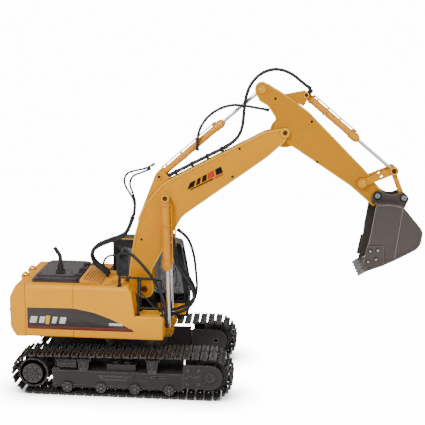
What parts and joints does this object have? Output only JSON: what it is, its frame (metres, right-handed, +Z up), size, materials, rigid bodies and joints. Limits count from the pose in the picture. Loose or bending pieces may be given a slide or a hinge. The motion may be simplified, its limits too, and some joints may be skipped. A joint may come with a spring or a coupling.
{
  "type": "remote control excavator",
  "caption": "Tracked remote control excavator: turning house with cab and hood, a lifting boom, a swinging stick, a curling bucket on a linkage, and chain tracks.",
  "frame": {"origin": "the slew axis where it meets the ground, midway between the tracks", "axes": "+X towards the bucket at rest, which is the machine's front; +Y to the machine's left; +Z up"},
  "size_m": [0.542, 0.177, 0.4228],
  "materials": {
    "yellow_body": "satin yellow paint",
    "yellow_plastic": "satin yellow moulding",
    "grey_plastic": "matt dark grey moulding",
    "frame_grey": "matt mid grey moulding",
    "track_metal": "blackened cast metal with bright edges",
    "bucket_metal": "satin warm grey paint",
    "black_plastic": "satin black moulding",
    "chrome_rod": "polished",
    "steel_pin": "turned steel",
    "hose_rubber": "matt black rubber",
    "clear_pane": "tinted clear pane",
    "board": "circuit board",
    "battery": "shrink wrap"
  },
  "bodies": {
    "undercarriage": {"lower_frame": "frame_grey", "left_track_frame": "frame_grey", "right_track_frame": "frame_grey", "left_track_chain": "track_metal", "right_track_chain": "track_metal", "track_supports": "frame_grey", "idler_yokes": "frame_grey", "drive_motors": "frame_grey"},
    "house": {"slew_ring": "black_plastic", "house_floor": "black_plastic", "house_shell": "yellow_plastic", "counterweight": "yellow_plastic", "engine_hood": "grey_plastic", "exhaust": "grey_plastic", "louver_panel": "yellow_plastic", "right_step_box": "yellow_plastic", "cab_shell": "black_plastic", "cab_glazing": "clear_pane", "cab_interior": "black_plastic", "handrails": "black_plastic", "side_mirror": "black_plastic", "boom_bracket": "black_plastic", "cylinder_brackets": "yellow_body", "battery_pack": "battery", "control_board": "board", "slew_motor": "black_plastic", "house_hoses": "hose_rubber", "lift_hoses": "hose_rubber"},
    "switch": {"power_switch": "black_plastic"},
    "boom": {"boom_left_shell": "yellow_body", "boom_right_shell": "yellow_body", "boom_pins": "steel_pin", "boom_gearbox": "black_plastic", "boom_hoses": "hose_rubber", "arch_hoses": "hose_rubber"},
    "boom_barrels": {"boom_cylinder_barrels": "yellow_body"},
    "boom_rods": {"boom_cylinder_rods": "chrome_rod"},
    "stick": {"stick_left_shell": "yellow_body", "stick_right_shell": "yellow_body"},
    "stick_barrel": {"stick_cylinder_barrel": "yellow_body"},
    "stick_rod": {"stick_cylinder_rod": "chrome_rod"},
    "bucket_barrel": {"bucket_cylinder_barrel": "yellow_body"},
    "bucket_rod": {"bucket_cylinder_rod": "chrome_rod"},
    "rocker": {"rocker_levers": "yellow_body"},
    "link": {"bucket_link": "yellow_body"},
    "bucket": {"bucket_shell": "bucket_metal", "bucket_teeth": "bucket_metal", "bucket_pins": "steel_pin"},
    "left_sprocket": {"left_sprocket": "frame_grey"},
    "left_idler": {"left_idler": "frame_grey"},
    "left_roller_1": {"left_roller_1": "frame_grey"},
    "left_roller_2": {"left_roller_2": "frame_grey"},
    "left_roller_3": {"left_roller_3": "frame_grey"},
    "left_roller_4": {"left_roller_4": "frame_grey"},
    "right_sprocket": {"right_sprocket": "frame_grey"},
    "right_idler": {"right_idler": "frame_grey"},
    "right_roller_1": {"right_roller_1": "frame_grey"},
    "right_roller_2": {"right_roller_2": "frame_grey"},
    "right_roller_3": {"right_roller_3": "frame_grey"},
    "right_roller_4": {"right_roller_4": "frame_grey"}
  },
  "joints": [
    {"name": "slew", "type": "hinge", "parent": "undercarriage", "child": "house", "pos_m": [0, 0, 0.065], "axis": [0, 0, 1], "range_deg": [-340, 340]},
    {"name": "switch_slide", "type": "slide", "parent": "house", "child": "switch", "axis": [1, 0, 0], "range_m": [0, 0.004]},
    {"name": "boom_lift", "type": "hinge", "parent": "house", "child": "boom", "pos_m": [0.0205, 0, 0.1245], "axis": [0, 1, 0], "range_deg": [-3, 43], "deforming": ["lift_hoses"]},
    {"name": "stick_swing", "type": "hinge", "parent": "boom", "child": "stick", "pos_m": [0.2037, 0, 0.3402], "axis": [0, 1, 0], "range_deg": [-30, 30], "deforming": ["arch_hoses"]},
    {"name": "bucket_curl", "type": "hinge", "parent": "stick", "child": "bucket", "pos_m": [0.3257, 0, 0.2612], "axis": [0, 1, 0], "range_deg": [-45, 30]},
    {"name": "boom_barrel_tilt", "type": "hinge", "parent": "boom", "child": "boom_barrels", "pos_m": [0.0495, 0, 0.2523], "axis": [0, 1, 0], "range_deg": [-12.06, 1.12]},
    {"name": "boom_rod_slide", "type": "slide", "parent": "boom_barrels", "child": "boom_rods", "axis": [0.0274, 0, -0.9996], "range_m": [-0.03294, 0.00258]},
    {"name": "stick_barrel_tilt", "type": "hinge", "parent": "boom", "child": "stick_barrel", "pos_m": [0.0397, 0, 0.2784], "axis": [0, 1, 0], "range_deg": [-2.45, 2.45]},
    {"name": "stick_rod_slide", "type": "slide", "parent": "stick_barrel", "child": "stick_rod", "axis": [0.7498, 0, 0.6616], "range_m": [-0.03199, 0.03199]},
    {"name": "bucket_barrel_tilt", "type": "hinge", "parent": "stick", "child": "bucket_barrel", "pos_m": [0.2292, 0, 0.3886], "axis": [0, 1, 0], "range_deg": [-3.8, 2.63]},
    {"name": "bucket_rod_slide", "type": "slide", "parent": "bucket_barrel", "child": "bucket_rod", "axis": [0.7743, 0, -0.6328], "range_m": [-0.02132, 0.01432]},
    {"name": "rocker_swing", "type": "hinge", "parent": "stick", "child": "rocker", "pos_m": [0.3056, 0, 0.2768], "axis": [0, 1, 0], "range_deg": [-31.02, 20.78]},
    {"name": "link_swing", "type": "hinge", "parent": "rocker", "child": "link", "pos_m": [0.3452, 0, 0.2938], "axis": [0, 1, 0], "range_deg": [-11.6, 17.25]},
    {"name": "left_sprocket_spin", "type": "hinge", "parent": "undercarriage", "child": "left_sprocket", "pos_m": [-0.11555, 0.06675, 0.02797], "axis": [0, 1, 0], "continuous": true},
    {"name": "left_idler_spin", "type": "hinge", "parent": "undercarriage", "child": "left_idler", "pos_m": [0.11555, 0.06675, 0.0299], "axis": [0, 1, 0], "continuous": true},
    {"name": "left_roller_1_spin", "type": "hinge", "parent": "undercarriage", "child": "left_roller_1", "pos_m": [-0.0704, 0.06675, 0.0108], "axis": [0, 1, 0], "continuous": true},
    {"name": "left_roller_2_spin", "type": "hinge", "parent": "undercarriage", "child": "left_roller_2", "pos_m": [-0.0262, 0.06675, 0.0108], "axis": [0, 1, 0], "continuous": true},
    {"name": "left_roller_3_spin", "type": "hinge", "parent": "undercarriage", "child": "left_roller_3", "pos_m": [0.0182, 0.06675, 0.0108], "axis": [0, 1, 0], "continuous": true},
    {"name": "left_roller_4_spin", "type": "hinge", "parent": "undercarriage", "child": "left_roller_4", "pos_m": [0.0627, 0.06675, 0.0108], "axis": [0, 1, 0], "continuous": true},
    {"name": "right_sprocket_spin", "type": "hinge", "parent": "undercarriage", "child": "right_sprocket", "pos_m": [-0.11555, -0.06675, 0.02797], "axis": [0, 1, 0], "continuous": true},
    {"name": "right_idler_spin", "type": "hinge", "parent": "undercarriage", "child": "right_idler", "pos_m": [0.11555, -0.06675, 0.0299], "axis": [0, 1, 0], "continuous": true},
    {"name": "right_roller_1_spin", "type": "hinge", "parent": "undercarriage", "child": "right_roller_1", "pos_m": [-0.0704, -0.06675, 0.0108], "axis": [0, 1, 0], "continuous": true},
    {"name": "right_roller_2_spin", "type": "hinge", "parent": "undercarriage", "child": "right_roller_2", "pos_m": [-0.0262, -0.06675, 0.0108], "axis": [0, 1, 0], "continuous": true},
    {"name": "right_roller_3_spin", "type": "hinge", "parent": "undercarriage", "child": "right_roller_3", "pos_m": [0.0182, -0.06675, 0.0108], "axis": [0, 1, 0], "continuous": true},
    {"name": "right_roller_4_spin", "type": "hinge", "parent": "undercarriage", "child": "right_roller_4", "pos_m": [0.0627, -0.06675, 0.0108], "axis": [0, 1, 0], "continuous": true}
  ],
  "couplings": [
    {"joint": "boom_barrel_tilt", "follows": "boom_lift", "ratio": -0.27346},
    {"joint": "boom_rod_slide", "follows": "boom_lift", "m_per_rad": -0.043496},
    {"joint": "stick_barrel_tilt", "follows": "stick_swing", "ratio": 0.071529},
    {"joint": "stick_rod_slide", "follows": "stick_swing", "m_per_rad": 0.060532},
    {"joint": "bucket_barrel_tilt", "follows": "bucket_curl", "ratio": 0.077776},
    {"joint": "bucket_rod_slide", "follows": "bucket_curl", "m_per_rad": 0.026768},
    {"joint": "rocker_swing", "follows": "bucket_curl", "ratio": 0.68277},
    {"joint": "link_swing", "follows": "bucket_curl", "ratio": -0.3766},
    {"joint": "left_idler_spin", "follows": "left_sprocket_spin", "ratio": 0.92278},
    {"joint": "left_roller_1_spin", "follows": "left_sprocket_spin", "ratio": 6.235},
    {"joint": "left_roller_2_spin", "follows": "left_sprocket_spin", "ratio": 6.235},
    {"joint": "left_roller_3_spin", "follows": "left_sprocket_spin", "ratio": 6.235},
    {"joint": "left_roller_4_spin", "follows": "left_sprocket_spin", "ratio": 6.235},
    {"joint": "right_idler_spin", "follows": "right_sprocket_spin", "ratio": 0.92278},
    {"joint": "right_roller_1_spin", "follows": "right_sprocket_spin", "ratio": 6.235},
    {"joint": "right_roller_2_spin", "follows": "right_sprocket_spin", "ratio": 6.235},
    {"joint": "right_roller_3_spin", "follows": "right_sprocket_spin", "ratio": 6.235},
    {"joint": "right_roller_4_spin", "follows": "right_sprocket_spin", "ratio": 6.235}
  ]
}
